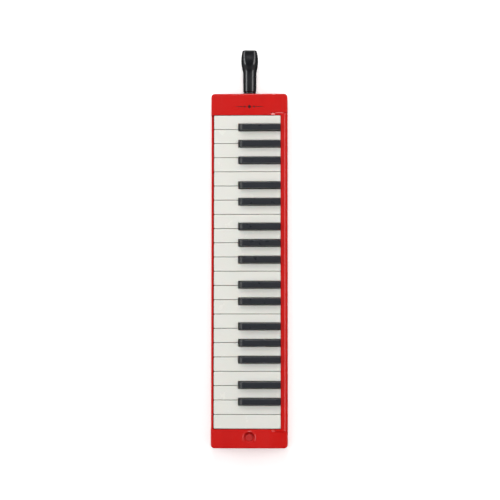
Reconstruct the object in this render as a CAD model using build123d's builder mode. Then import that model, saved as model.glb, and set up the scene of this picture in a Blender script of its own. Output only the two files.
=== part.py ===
from build123d import *
import math
import os

# A 37-key melodica: a blown free-reed keyboard in a two-part plastic case.
# Origin: centre of the case's underside. +X runs from the mouthpiece (bass) end to the treble end,
# +Y from the fronts of the keys to the rail behind them, +Z up. Millimetres throughout.

os.makedirs("parts", exist_ok=True)

# --- case ---
case_length = 482.0
case_width = 104.0
case_top = 36.0            # top of the two end blocks
case_split = 15.0          # joint line of the two case halves, and height of the blowing axis
wall = 2.2
corner_radius = 5.0
end_x = case_length / 2
side_y = case_width / 2
inner_x = end_x - wall
inner_y = side_y - wall
bass_block = 30.0          # length of the end block beside the mouthpiece
front_rail_top = 27.0
front_rail_wall = 3.0
rear_ledge_top = 19.0      # the rear rail stands on this ledge
slope_start_y = 27.0       # the top falls gently from here to the rear edge
slope = 0.056

# --- keyboard ---
white_count = 22
key_pitch = 19.35
key_gap = 0.7
keys_x0 = -end_x + bass_block
keys_x1 = keys_x0 + white_count * key_pitch
well_margin = 0.6
well_x0 = keys_x0 - well_margin
well_x1 = keys_x1 + well_margin
key_front_y = -47.9
key_rear_y = 42.3
tail_end_y = 45.5          # tongue of each key that reaches under the rail
tail_top = 30.0
white_top = 36.5
black_top = 44.0
key_bottom = 26.0
key_skin = 2.0
key_side = 1.5
black_front_y = -13.8
black_slope = 4.2          # how far the front of a black key leans back
black_width = 9.2
black_top_width = 8.0
notch_gap = 0.65
notch_front_y = -15.0
pivot_y = 20.0
pivot_z = 29.0
shaft_radius = 1.5
running_gap = 0.05
pivot_block = (13.5, 26.5)
rib_relief = 0.95          # room beside a white key for a pivot rib
# Offset of each black key from the joint between its two white keys
black_offset = {"F": -2.7, "G": 0.3, "A": 3.7, "C": -1.0, "D": 2.2}
white_names = "FGABCDE"

# --- wind chest ---
chest_top = 23.0
valve_plate = 2.0
reed_block_bottom = 17.0
chest_x0, chest_x1 = -212.0, 216.0
chest_y0, chest_y1 = -17.0, 49.5
chest_rim = 4.0
cover_bottom = 11.5
cover_wall = 1.5
gasket_thickness = 0.5
cover_top = reed_block_bottom - gasket_thickness
deck_top = 20.6            # shelf under the key fronts
deck_thickness = 2.0
deck_front_y = -46.5
pad_y, pad_length, pad_width = 38.0, 8.6, 8.0
valve_length, valve_width = 5.0, 6.0
cell_width = 7.0
cell_rear_y = 41.2
spring_foot_y = (6.5, 12.5)    # leaf spring under each key: riveted foot, then a blade up to the key
spring_tip_y = 1.5
spring_tip_z = 32.6
spring_leaf = 0.3
spring_width = 4.0
drain_coil_radius = 3.2
drain_turns = 4
felt_thickness = 1.4

# --- reeds ---
reed_plate_thickness = 1.0
reed_plate_y = (-12.5, 45.0)
reed_tip_y = 40.3
reed_longest, reed_shortest = 34.0, 13.0
reed_width = 2.6
reed_thickness = 0.3
reed_root = 5.0
reed_slot_gap = 0.15
rivet_radius = 0.8

# --- blowing end ---
blow_z = case_split
socket_radius = 6.75
socket_depth = 15.0
joint_radius = 8.6
flange_radius = 9.9
flange_x0 = -end_x - 3.0
port_radius = 3.6
port_z = 12.2
port_tube_radius = 5.2
seal_x0 = chest_x0 - 2.0
head_length = 58.0         # from the flange to the mouthpiece's tip

# --- condensation drain ---
drain_x = 226.4
button_radius = 4.55
dish_radius = 7.3
dish_depth = 4.0
lip_height = 0.6           # raised lip round the dish, open towards the case's end
lip_width = 2.1
lip_sweep = 250.0
stem_radius = 1.5
drain_box_x1 = 236.0
drain_box_y = 12.0
drain_box_bottom = 6.0
drain_roof = 19.0

# --- underside ---
screw_corner = (232.0, 42.0)
screw_front_x = (-165.0, -55.0, 55.0, 165.0)
screw_front_y = -42.0
screw_boss = 3.6
screw_radius = 1.3
screw_head = (2.8, 2.0)    # radius, height
head_seat_z = 5.0
screw_tip_z = 20.0
hand_x = (-132.0, -48.0)   # hollow for the fingers
hand_y = 32.0
hand_depth = 9.0
strap_well = 18.0          # length of the narrow well at each end of the hollow
strap_well_y = 14.0
strap_bar_x = (-143.0, -37.0)
strap_bar_z = 4.6
strap_bar_radius = 1.5
strap_width = 24.0
strap_thickness = 1.6
strap_gap = 0.1

block_edge_radius = 1.8
rear_ceiling = case_top - 2.2 * wall
foot_edge_radius = 2.5
split_groove = 0.35        # chamfer on both halves along the joint line

# --- rear rail ---
rail_notch = 3.9           # length of the notch in each end block
rail_tab_y = 35.2
notch_y = 29.8
nose_z = (34.3, 35.8)      # height of the nose's floor at its -X and +X sides
rail_seat_z = 32.3
rail_front_y = 42.7
rail_radius = 6.5
rail_rise = 0.4            # the rail stands this much above the end blocks
rail_end_ease = (0.55, 1.3)    # bevel of the rail's ends: down and along
slot_z = 26.0
slot_pitch = key_pitch
slot_count = 20
slot_length = 13.0
slot_height = 2.4

# --- ribs, felt and small screws ---
rib_thickness = 1.6
rib_y = (15.5, 24.5)
rib_top = 32.5
relief_top = 33.5
felt_y = (-46.0, -39.0)
plate_joint_x = keys_x0 + 11 * key_pitch
plate_screw_y = (-10.0, 43.1)
small_screw_radius = 0.95
small_screw_tip = 20.5
small_head = (1.75, 1.2)
small_head_seat = cover_bottom + 1.4
front_boss_top = 13.0
case_screw_places = []

# --- drain and inlet details ---
guide_bottom = 28.0
button_top = 36.2
outlet_radius = 5.2
drain_hole_radius = 2.6
drain_pad_z = (3.6, 6.0)
plenum_x1 = -166.0
plenum_y = 13.0
plenum_bottom = 5.0
plug_length = 14.0

# --- strap ends ---
strap_lap = 14.0
strap_eye = 5.0


# --- small shapes placed by their corners or ends ---
def slab(x0, x1, y0, y1, z0, z1, mode=Mode.ADD):
    with Locations(((x0 + x1) / 2, (y0 + y1) / 2, (z0 + z1) / 2)):
        Box(x1 - x0, y1 - y0, z1 - z0, mode=mode)


def post(x, y, z0, z1, radius, mode=Mode.ADD):
    with Locations((x, y, (z0 + z1) / 2)):
        Cylinder(radius, z1 - z0, mode=mode)


def bar_x(x0, x1, y, z, radius, mode=Mode.ADD):
    with Locations(((x0 + x1) / 2, y, z)):
        Cylinder(radius, x1 - x0, rotation=(0, 90, 0), mode=mode)


def save(shape, label):
    shape.label = label
    export_step(shape, f"parts/{label}.step")


def slope_z(y):
    """Height of the case's top at y, behind the line where it starts to fall."""
    return case_top - max(0.0, y - slope_start_y) * slope


# --- the keys' places ---
def joint_x(index):
    return keys_x0 + index * key_pitch


def key_table():
    """Every key from F3 to F6, in order of pitch: its label, colour, edges and the middle of its tail."""
    blacks = {}
    for index in range(white_count - 1):
        offset = black_offset.get(white_names[index % 7])
        if offset is not None:
            blacks[index] = joint_x(index + 1) + offset
    keys = []
    octave = 3
    half_notch = black_width / 2 + notch_gap
    for index in range(white_count):
        letter = white_names[index % 7]
        if letter == "C":
            octave += 1
        left = joint_x(index) + key_gap / 2
        right = joint_x(index + 1) - key_gap / 2
        tail_left = blacks[index - 1] + half_notch if index - 1 in blacks else left
        tail_right = blacks[index] - half_notch if index in blacks else right
        keys.append(
            dict(label=f"key_{letter}{octave}", white=True, left=left, right=right,
                 tail=(tail_left, tail_right), middle=(tail_left + tail_right) / 2,
                 rib_left=index - 1 not in blacks, rib_right=index not in blacks)
        )
        if index in blacks:
            keys.append(dict(label=f"key_{letter}{octave}_sharp", white=False, middle=blacks[index]))
    return keys


keys = key_table()
# Pivot ribs stand where two white tails are neighbours, and at both ends of the keyboard
rib_joints = [joint_x(i) for i in range(1, white_count)
              if white_names[(i - 1) % 7] in "BE"]


def reed_length(index):
    return reed_longest * (reed_shortest / reed_longest) ** (index / (len(keys) - 1))


# --- drain dish: the tilted round hollow of the button's seat in the treble block ---
with BuildPart() as dish:
    with BuildSketch(Plane.XY.offset(case_top - dish_depth)):
        with Locations((drain_x, 0)):
            Circle(dish_radius)
    extrude(amount=dish_depth + 1)
    split(
        bisect_by=Plane(
            origin=(drain_x - dish_radius, 0, case_top - dish_depth),
            z_dir=(-dish_depth, 0, 2 * dish_radius),
        ),
        keep=Keep.TOP,
    )


with BuildPart() as lip:
    with BuildSketch(Plane.XZ):
        with BuildLine():
            Polyline(
                (dish_radius + 0.1, -0.5), (dish_radius + 0.1, 0.4), (dish_radius + 0.3, lip_height),
                (dish_radius + 0.6, lip_height), (dish_radius + lip_width, -0.05),
                (dish_radius + lip_width, -0.5), close=True,
            )
        make_face()
    revolve(axis=Axis.Z, revolution_arc=lip_sweep)


# --- upper case: two end blocks joined by the front rail and a low rear ledge ---
with BuildPart() as upper_case:
    with BuildSketch(Plane.YZ):
        with BuildLine():
            Polyline(
                (-side_y, case_split), (-side_y, case_top), (slope_start_y, case_top),
                (side_y, slope_z(side_y)), (side_y, case_split), close=True,
            )
        make_face()
    extrude(amount=end_x, both=True)
    with BuildSketch(Plane.XY):
        RectangleRounded(case_length, case_width, corner_radius)
    extrude(amount=case_top + 1, mode=Mode.INTERSECT)
    chamfer(upper_case.faces().sort_by(Axis.Z)[0].edges(), split_groove)
    # key well, open to the rear above the ledge and lowered over the front rail
    front_inner = -side_y + front_rail_wall
    slab(well_x0, well_x1, front_inner, side_y + 1, rear_ledge_top, case_top + 1, Mode.SUBTRACT)
    slab(well_x0, well_x1, front_inner, inner_y, case_split - 1, rear_ledge_top, Mode.SUBTRACT)
    slab(well_x0, well_x1, -side_y - 1, front_inner, front_rail_top, case_top + 1, Mode.SUBTRACT)
    outer_edges = [
        e for e in upper_case.edges()
        if e.center().Z > slope_z(side_y) - 0.2
        and (abs(e.center().X) > inner_x or abs(e.center().Y) > inner_y)
    ]
    fillet(outer_edges, block_edge_radius)
    rail_edges = [
        e for e in upper_case.edges().filter_by(Axis.X)
        if abs(e.center().Z - front_rail_top) < 0.01
    ]
    fillet(rail_edges, 1.0)
    # hollow end blocks, whose inner walls stop above the wind chest
    for x0, x1 in ((-inner_x, well_x0 - wall), (well_x1 + wall, inner_x)):
        slab(x0, x1, -inner_y, slope_start_y, case_split - 1, case_top - wall, Mode.SUBTRACT)
        slab(x0, x1, slope_start_y, inner_y, case_split - 1, rear_ceiling, Mode.SUBTRACT)
    for x0, x1 in ((well_x0 - wall, well_x0), (well_x1, well_x1 + wall)):
        slab(x0, x1, -inner_y, inner_y, case_split - 1, chest_top + 1, Mode.SUBTRACT)
    for x in (-screw_corner[0], screw_corner[0]):
        for y in (-screw_corner[1], screw_corner[1]):
            post(x, y, case_split, case_top - wall + 0.1 if y < 0 else rear_ceiling + 0.1, screw_boss)
            post(x, y, case_split - 1, screw_tip_z + 2, screw_radius + 0.02, Mode.SUBTRACT)
    # notches for the ends of the rear rail, each with a ramped nose
    for x0, x1 in ((well_x0 - rail_notch, well_x0), (well_x1, well_x1 + rail_notch)):
        with BuildSketch(Plane.XZ.offset(-notch_y)):
            with BuildLine():
                Polyline((x0, nose_z[0]), (x1, nose_z[1]), (x1, case_top + 1), (x0, case_top + 1),
                         close=True)
            make_face()
        extrude(amount=notch_y - rail_tab_y, mode=Mode.SUBTRACT)
        slab(x0, x1, rail_tab_y - 0.2, side_y + 1, rail_seat_z, case_top + 1, Mode.SUBTRACT)
        slab(x0, x1, side_y - rail_radius - 0.2, side_y + 1, rear_ledge_top, case_top + 1, Mode.SUBTRACT)
    # guide and dished seat of the drain button
    post(drain_x, 0, guide_bottom, case_top - wall + 0.1, button_radius + 2.2)
    slab(drain_x - dish_radius - 1.2, drain_x + dish_radius, -dish_radius - 1.2, dish_radius + 1.2,
         case_top - dish_depth - 1.4, case_top - wall + 0.1)
    add(dish.part, mode=Mode.SUBTRACT)
    with Locations((drain_x, 0, case_top)):
        add(lip.part, rotation=(0, 0, 180 - lip_sweep / 2))
    post(drain_x, 0, guide_bottom - 1, case_top + 1, button_radius + 0.15, Mode.SUBTRACT)
    bar_x(-end_x - 1, -inner_x + 1, 0, blow_z, joint_radius + 0.1, Mode.SUBTRACT)
save(upper_case.part, "upper_case")


# --- lower case: a tray with a finger hollow, two strap bars and screw bosses ---
with BuildPart() as lower_case:
    with BuildSketch():
        RectangleRounded(case_length, case_width, corner_radius)
    extrude(amount=case_split)
    fillet(lower_case.faces().sort_by(Axis.Z)[0].edges(), foot_edge_radius)
    chamfer(lower_case.faces().sort_by(Axis.Z)[-1].edges(), split_groove)
    with BuildSketch(Plane.XY.offset(wall)):
        RectangleRounded(2 * inner_x, 2 * inner_y, corner_radius - wall)
    extrude(amount=case_split, mode=Mode.SUBTRACT)
    # housing and mouth of the hollow
    well_a, well_b = hand_x[0] - strap_well, hand_x[1] + strap_well
    slab(hand_x[0] - wall, hand_x[1] + wall, -hand_y - wall, hand_y + wall, 0, hand_depth + wall)
    slab(well_a - wall, well_b + wall, -strap_well_y - wall, strap_well_y + wall, 0, hand_depth + wall)
    with BuildSketch():
        with Locations(((hand_x[0] + hand_x[1]) / 2, 0)):
            RectangleRounded(hand_x[1] - hand_x[0], 2 * hand_y, 8)
        with Locations(((well_a + well_b) / 2, 0)):
            RectangleRounded(well_b - well_a, 2 * strap_well_y, 2)
    extrude(amount=hand_depth, mode=Mode.SUBTRACT)
    fillet(lower_case.faces().sort_by(Axis.Z)[0].inner_wires()[0].edges(), 1.0)
    with Locations(*((x, 0, strap_bar_z) for x in strap_bar_x)):
        Cylinder(strap_bar_radius, 2 * strap_well_y + 1, rotation=(90, 0, 0))
    # screw bosses with sunk heads
    for x in (-screw_corner[0], screw_corner[0]):
        for y in (-screw_corner[1], screw_corner[1]):
            post(x, y, wall - 0.1, case_split, screw_boss)
            case_screw_places.append((x, y))
    for x in screw_front_x:
        post(x, screw_front_y, wall - 0.1, front_boss_top, screw_boss)
        case_screw_places.append((x, screw_front_y))
    for x, y in case_screw_places:
        post(x, y, wall - 0.1, head_seat_z + 1.5, screw_head[0] + 1.4)
        post(x, y, -1, head_seat_z, screw_head[0] + 0.3, Mode.SUBTRACT)
        post(x, y, 0, case_split + 1, screw_radius + 0.3, Mode.SUBTRACT)
    # drain outlet and the opening for the blowing joint
    post(drain_x, 0, -1, wall + 1, outlet_radius, Mode.SUBTRACT)
    bar_x(-end_x - 1, -inner_x + 1, 0, blow_z, joint_radius + 0.1, Mode.SUBTRACT)
save(lower_case.part, "lower_case")


# --- rear rail: covers the key tails and closes the back, with a row of sound slots ---
with BuildPart() as rear_rail:
    arc_y = side_y - rail_radius
    arc_z = slope_z(arc_y) + rail_rise - rail_radius
    with BuildSketch(Plane.YZ.offset(well_x0 - rail_notch + 0.2)):
        with BuildLine():
            outer = CenterArc((arc_y, arc_z), rail_radius, 0, 90)
            inner = CenterArc((arc_y, arc_z), rail_radius - wall, 0, 90)
            rail_front_z = slope_z(rail_front_y) + rail_rise
            Polyline(outer @ 1, (rail_front_y, rail_front_z), (rail_front_y, rail_front_z - wall),
                     inner @ 1)
            Polyline(inner @ 0, (inner_y, rear_ledge_top), (side_y, rear_ledge_top), outer @ 0)
        make_face()
    extrude(amount=well_x1 - well_x0 + 2 * rail_notch - 0.4)
    for x0, x1 in ((well_x0 - rail_notch + 0.2, well_x0), (well_x1, well_x1 + rail_notch - 0.2)):
        with BuildSketch(Plane.YZ.offset(x0)):
            with BuildLine():
                Polyline(
                    (rail_tab_y, rail_seat_z), (rail_tab_y, slope_z(rail_tab_y) + rail_rise),
                    (arc_y, slope_z(arc_y) + rail_rise), (arc_y, rail_seat_z), close=True,
                )
            make_face()
        extrude(amount=x1 - x0)
    for end_face in (rear_rail.faces().sort_by(Axis.X)[0], rear_rail.faces().sort_by(Axis.X)[-1]):
        top_edges = [e for e in end_face.edges().filter_by(GeomType.LINE) if e.center().Z > rail_front_z - 0.6]
        chamfer(top_edges, *rail_end_ease, reference=end_face)
    with BuildSketch(Plane.XZ.offset(-side_y - 1)):
        with Locations((0, slot_z)):
            with GridLocations(slot_pitch, 1, slot_count, 1):
                SlotOverall(slot_length, slot_height)
    extrude(amount=wall + 2, mode=Mode.SUBTRACT)
save(rear_rail.part, "rear_rail")


# --- wind chest: the key bed, with a valve hole and a reed cell for every key ---
def chest_outline():
    """Outline that the chest, its gasket and its cover share: the reed area and the drain's box."""
    with Locations(((chest_x0 + chest_x1) / 2, (chest_y0 + chest_y1) / 2)):
        Rectangle(chest_x1 - chest_x0, chest_y1 - chest_y0)
    with Locations(((chest_x1 + drain_box_x1) / 2, 0)):
        Rectangle(drain_box_x1 - chest_x1, 2 * drain_box_y)


def chest_opening():
    """The air space inside that outline."""
    x0, x1 = chest_x0 + chest_rim, chest_x1 - chest_rim
    y0, y1 = chest_y0 + chest_rim, chest_y1 - chest_rim
    with Locations(((x0 + x1) / 2, (y0 + y1) / 2)):
        Rectangle(x1 - x0, y1 - y0)
    with Locations(((x1 - 1 + drain_box_x1 - 2) / 2, 0)):
        Rectangle(drain_box_x1 - 2 - x1 + 1, 2 * drain_box_y - 4)


chest_screw_places = [
    (chest_x0 + 6 + i * (chest_x1 - chest_x0 - 12) / 8, y)
    for i in range(9) for y in (chest_y0 + chest_rim / 2, chest_y1 - chest_rim / 2)
]
plate_x = ((chest_x0 + chest_rim + 0.5, plate_joint_x - 0.4),
           (plate_joint_x + 0.4, chest_x1 - chest_rim - 0.5))
plate_screw_places = [
    (x0 + 4 + i * (x1 - x0 - 8) / 3, y)
    for x0, x1 in plate_x for i in range(4) for y in (plate_screw_y)
]

with BuildPart() as wind_chest:
    slab(chest_x0, chest_x1, chest_y0, chest_y1, reed_block_bottom, chest_top)
    slab(chest_x0, chest_x1, deck_front_y, chest_y0, deck_top - deck_thickness, deck_top)
    slab(chest_x1, drain_box_x1, -drain_box_y, drain_box_y, reed_block_bottom, drain_roof)
    for x in rib_joints:
        slab(x - rib_thickness / 2, x + rib_thickness / 2, *rib_y, chest_top, rib_top)
    for x0, x1 in ((well_x0 + 0.2, keys_x0 + 1.0), (keys_x1 - 1.0, well_x1 - 0.2)):
        slab(x0, x1, *rib_y, chest_top - 2, rib_top)
    bar_x(well_x0, well_x1, pivot_y, pivot_z, shaft_radius, Mode.SUBTRACT)
    for index, key in enumerate(keys):
        cell_front = reed_tip_y - reed_length(index) - 1
        half = cell_width / 2
        slab(key["middle"] - half, key["middle"] + half, cell_front, cell_rear_y,
             reed_block_bottom, chest_top - valve_plate, Mode.SUBTRACT)
        slab(key["middle"] - valve_width / 2, key["middle"] + valve_width / 2,
             pad_y - valve_length / 2, pad_y + valve_length / 2,
             chest_top - valve_plate - 1, chest_top + 1, Mode.SUBTRACT)
    for x, y in chest_screw_places:
        post(x, y, reed_block_bottom - 1, small_screw_tip, small_screw_radius + 0.02, Mode.SUBTRACT)
    for x, y in plate_screw_places:
        post(x, y, reed_block_bottom - 1, small_screw_tip, small_screw_radius + 0.02, Mode.SUBTRACT)
    for x in screw_front_x:
        post(x, screw_front_y, front_boss_top, deck_top - 0.1, screw_boss)
        post(x, screw_front_y, front_boss_top - 1, deck_top - 0.5, screw_radius + 0.02, Mode.SUBTRACT)
    post(drain_x, 0, reed_block_bottom - 1, drain_roof + 1, stem_radius + 0.1, Mode.SUBTRACT)
save(wind_chest.part, "wind_chest")


# --- chest gasket, between the chest and its cover ---
with BuildPart() as chest_gasket:
    with BuildSketch(Plane.XY.offset(cover_top)):
        chest_outline()
    extrude(amount=gasket_thickness)
    with BuildSketch(Plane.XY.offset(cover_top)):
        chest_opening()
    extrude(amount=gasket_thickness, mode=Mode.SUBTRACT)
    for x, y in chest_screw_places:
        post(x, y, cover_top - 1, reed_block_bottom + 1, small_screw_radius + 0.02, Mode.SUBTRACT)
save(chest_gasket.part, "chest_gasket")


# --- chest cover: the shallow tray that holds the blowing pressure, deeper at the inlet and the drain ---
with BuildPart() as chest_cover:
    with BuildSketch(Plane.XY.offset(cover_bottom)):
        chest_outline()
    extrude(amount=cover_top - cover_bottom)
    slab(chest_x0, plenum_x1, -plenum_y, plenum_y, plenum_bottom, cover_bottom)
    slab(chest_x1 - chest_rim, drain_box_x1, -drain_box_y, drain_box_y, drain_box_bottom, cover_bottom)
    with BuildSketch(Plane.XY.offset(cover_bottom + cover_wall)):
        chest_opening()
    extrude(amount=cover_top - cover_bottom, mode=Mode.SUBTRACT)
    slab(chest_x0 + 2, plenum_x1 - 2, -plenum_y + 2, plenum_y - 2,
         plenum_bottom + cover_wall, cover_top - 0.5, Mode.SUBTRACT)
    slab(chest_x1 - chest_rim + 2, drain_box_x1 - 2, -drain_box_y + 2, drain_box_y - 2,
         drain_box_bottom + 2, cover_bottom + 2, Mode.SUBTRACT)
    bar_x(chest_x0 - 1, chest_x0 + 5, 0, port_z, port_radius, Mode.SUBTRACT)
    post(drain_x, 0, drain_box_bottom - 1, drain_box_bottom + 3, drain_hole_radius, Mode.SUBTRACT)
    for x, y in chest_screw_places:
        post(x, y, cover_bottom - 1, small_head_seat, small_head[0] + 0.15, Mode.SUBTRACT)
        post(x, y, cover_bottom - 1, cover_top + 1, small_screw_radius + 0.1, Mode.SUBTRACT)
save(chest_cover.part, "chest_cover")


# --- reed plates, their reeds, rivets and screws ---
for label, (x0, x1) in zip(("reed_plate_bass", "reed_plate_treble"), plate_x):
    with BuildPart() as reed_plate:
        slab(x0, x1, *reed_plate_y, reed_block_bottom - reed_plate_thickness, reed_block_bottom)
        for index, key in enumerate(keys):
            if x0 < key["middle"] < x1:
                half = reed_width / 2 + reed_slot_gap
                slot_front = reed_tip_y - reed_length(index)
                slab(key["middle"] - half, key["middle"] + half, slot_front, reed_tip_y + reed_slot_gap,
                     reed_block_bottom - 2, reed_block_bottom + 1, Mode.SUBTRACT)
                post(key["middle"], slot_front - reed_root / 2, reed_block_bottom - 2,
                     reed_block_bottom + 1, rivet_radius + 0.02, Mode.SUBTRACT)
        for x, y in plate_screw_places:
            post(x, y, reed_block_bottom - 2, reed_block_bottom + 1, small_screw_radius + 0.1,
                 Mode.SUBTRACT)
    save(reed_plate.part, label)

reed_top = reed_block_bottom - reed_plate_thickness
with BuildPart() as reeds:
    for index, key in enumerate(keys):
        root_end = reed_tip_y - reed_length(index) - reed_root
        slab(key["middle"] - reed_width / 2, key["middle"] + reed_width / 2, root_end, reed_tip_y,
             reed_top - reed_thickness, reed_top)
        post(key["middle"], root_end + reed_root / 2, reed_top - 1, reed_top + 1,
             rivet_radius + 0.02, Mode.SUBTRACT)
save(reeds.part, "reeds")

with BuildPart() as reed_rivets:
    for index, key in enumerate(keys):
        rivet_y = reed_tip_y - reed_length(index) - reed_root / 2
        post(key["middle"], rivet_y, reed_top - reed_thickness, reed_block_bottom, rivet_radius)
        post(key["middle"], rivet_y, reed_top - reed_thickness - 0.5, reed_top - reed_thickness,
             rivet_radius + 0.4)
save(reed_rivets.part, "reed_rivets")


def screws(places, head_bottom, head_radius, head_height, shank_radius, tip_z):
    """Cross-head screws driven upwards, one solid at each place."""
    for x, y in places:
        post(x, y, head_bottom, head_bottom + head_height, head_radius)
        post(x, y, head_bottom + head_height, tip_z, shank_radius)
        slab(x - head_radius * 0.6, x + head_radius * 0.6, y - 0.3, y + 0.3,
             head_bottom, head_bottom + 0.9, Mode.SUBTRACT)
        slab(x - 0.3, x + 0.3, y - head_radius * 0.6, y + head_radius * 0.6,
             head_bottom, head_bottom + 0.9, Mode.SUBTRACT)


with BuildPart() as reed_plate_screws:
    screws(plate_screw_places, reed_top - small_head[1], *small_head, small_screw_radius, small_screw_tip - 1)
save(reed_plate_screws.part, "reed_plate_screws")

with BuildPart() as chest_screws:
    screws(chest_screw_places, small_head_seat - small_head[1], *small_head, small_screw_radius,
           small_screw_tip - 0.5)
save(chest_screws.part, "chest_screws")

with BuildPart() as case_screws:
    screws(case_screw_places, head_seat_z - screw_head[1], *screw_head, screw_radius, screw_tip_z)
save(case_screws.part, "case_screws")


# --- key action ---
with BuildPart() as pivot_shaft:
    bar_x(well_x0 + 0.3, well_x1 - 0.3, pivot_y, pivot_z, shaft_radius)
    chamfer(pivot_shaft.edges().filter_by(GeomType.CIRCLE), 0.3)
save(pivot_shaft.part, "pivot_shaft")

with BuildPart() as leaf_spring:
    foot_z = chest_top + spring_leaf / 2 + 0.01
    with BuildSketch(Plane.YZ):
        with BuildLine():
            FilletPolyline(
                (spring_foot_y[1], foot_z), (spring_foot_y[0], foot_z),
                (spring_tip_y - 2.5, spring_tip_z - 0.8), (spring_tip_y, spring_tip_z), radius=0.7,
            )
        trace(line_width=spring_leaf)
    extrude(amount=spring_width / 2, both=True)
    post(0, spring_foot_y[1] - 2.5, foot_z, foot_z + 0.6, 1.1)

with BuildPart() as key_springs:
    with Locations(*((key["middle"], 0, 0) for key in keys)):
        add(leaf_spring.part)
save(key_springs.part, "key_springs")

with BuildPart() as key_felt:
    slab(keys_x0 + 3, keys_x1 - 5, felt_y[0], felt_y[1], deck_top, deck_top + felt_thickness)
save(key_felt.part, "key_felt")


def white_key(key):
    left, right = key["left"], key["right"]
    tail_left, tail_right = key["tail"]
    with BuildPart() as body:
        with BuildSketch(Plane.XY.offset(key_bottom)):
            with Locations(((left + right) / 2, (key_front_y + key_rear_y) / 2)):
                Rectangle(right - left, key_rear_y - key_front_y)
            for x0, x1 in ((left, tail_left), (tail_right, right)):
                if x1 - x0 > 0.1:
                    with Locations(((x0 + x1) / 2, (notch_front_y + key_rear_y) / 2)):
                        Rectangle(x1 - x0, key_rear_y - notch_front_y, mode=Mode.SUBTRACT)
        extrude(amount=white_top - key_bottom)
        front_corners = body.edges().filter_by(Axis.Z).group_by(Axis.Y)[0]
        fillet(front_corners, 1.2)
        fillet(body.faces().sort_by(Axis.Z)[-1].edges(), 0.6)
        # hollow front, with side skirts
        slab(left + key_side, right - key_side, key_front_y + key_side, notch_front_y - key_side,
             key_bottom, white_top - key_skin, Mode.SUBTRACT)
        slab(tail_left + key_side, tail_right - key_side, notch_front_y - key_side, pivot_block[0],
             key_bottom, white_top - key_skin, Mode.SUBTRACT)
        slab(tail_left + key_side, tail_right - key_side, pivot_block[1], pad_y - pad_length / 2 - 0.5,
             key_bottom, white_top - key_skin, Mode.SUBTRACT)
        slab(tail_left + 1, tail_right - 1, key_rear_y - 1, tail_end_y, key_bottom, tail_top)
        for side, has_rib in ((tail_left, key["rib_left"]), (tail_right, key["rib_right"])):
            if has_rib:
                slab(side - rib_relief, side + rib_relief, *pivot_block, key_bottom - 1, relief_top,
                     Mode.SUBTRACT)
        bar_x(left - 1, right + 1, pivot_y, pivot_z, shaft_radius + running_gap, Mode.SUBTRACT)
    return body


def black_key(key):
    middle = key["middle"]
    half = black_width / 2
    with BuildPart() as body:
        with BuildSketch(Plane.XY.offset(white_top)):
            with Locations((middle, (black_front_y + key_rear_y) / 2)):
                Rectangle(black_width, key_rear_y - black_front_y)
        with BuildSketch(Plane.XY.offset(black_top)):
            with Locations((middle, (black_front_y + black_slope + key_rear_y) / 2)):
                Rectangle(black_top_width, key_rear_y - black_front_y - black_slope)
        loft()
        top_edges = body.faces().sort_by(Axis.Z)[-1].edges().sort_by(Axis.Y)[:-1]
        fillet(top_edges, 1.1)
        slab(middle - half, middle + half, black_front_y, key_rear_y, key_bottom, white_top)
        slab(middle - half + key_side, middle + half - key_side, black_front_y + key_side,
             pivot_block[0], key_bottom, white_top - key_skin, Mode.SUBTRACT)
        slab(middle - half + key_side, middle + half - key_side, pivot_block[1],
             pad_y - pad_length / 2 - 0.5, key_bottom, white_top - key_skin, Mode.SUBTRACT)
        slab(middle - half + 1, middle + half - 1, key_rear_y - 1, tail_end_y, key_bottom, tail_top)
        bar_x(middle - half - 1, middle + half + 1, pivot_y, pivot_z, shaft_radius + running_gap,
              Mode.SUBTRACT)
    return body


for key in keys:
    body = white_key(key) if key["white"] else black_key(key)
    with BuildPart() as pad:
        slab(key["middle"] - pad_width / 2, key["middle"] + pad_width / 2,
             pad_y - pad_length / 2, pad_y + pad_length / 2, chest_top, key_bottom)
    save(Compound(children=[body.part, pad.part]), key["label"])


# --- blowing joint: the socket in the bass end, with a port into the chest ---
with BuildPart() as inlet_joint:
    bar_x(flange_x0, -end_x, 0, blow_z, flange_radius)
    fillet(inlet_joint.edges().sort_by(Axis.X)[0], 0.8)
    bar_x(-end_x, flange_x0 + socket_depth + 3, 0, blow_z, joint_radius)
    bar_x(-inner_x, -inner_x + 1.8, 0, blow_z, flange_radius)
    bar_x(flange_x0 + socket_depth + 2, seal_x0, 0, port_z, port_tube_radius)
    bar_x(flange_x0, flange_x0 + socket_depth, 0, blow_z, socket_radius, Mode.SUBTRACT)
    bar_x(flange_x0 + socket_depth - 1, seal_x0, 0, port_z, port_radius, Mode.SUBTRACT)
save(inlet_joint.part, "inlet_joint")

with BuildPart() as inlet_seal:
    bar_x(seal_x0, chest_x0, 0, port_z, port_tube_radius + 0.8)
    bar_x(seal_x0, chest_x0, 0, port_z, port_radius, Mode.SUBTRACT)
save(inlet_seal.part, "inlet_seal")


# --- mouthpiece: a plug, a round neck and a flattened head that rises towards the player ---
# Each station: distance from the flange, rise of the middle above the blowing axis, width, height
neck_stations = (
    (1.4, 0.0, 17.9, 17.9),
    (12.0, 0.0, 18.1, 17.9),
    (30.0, 0.0, 18.3, 17.9),
    (38.0, 1.5, 17.6, 16.0),
)
head_stations = (
    (27.0, 0.0, 17.2, 16.8),
    (31.5, 0.6, 19.6, 18.4),
    (36.0, 2.6, 21.6, 19.4),
    (41.0, 4.9, 22.9, 19.0),
    (48.0, 6.6, 22.8, 15.8),
    (54.0, 7.8, 21.2, 13.2),
    (head_length, 8.8, 19.2, 11.0),
)
bore_stations = (
    (-1.0, 0.0, 8.8, 8.8),
    (24.0, 0.3, 9.0, 8.4),
    (34.0, 2.2, 10.6, 7.6),
    (43.0, 5.0, 12.0, 6.4),
    (51.0, 7.0, 12.8, 5.8),
    (head_length + 0.5, 8.2, 13.0, 5.4),
)


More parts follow.
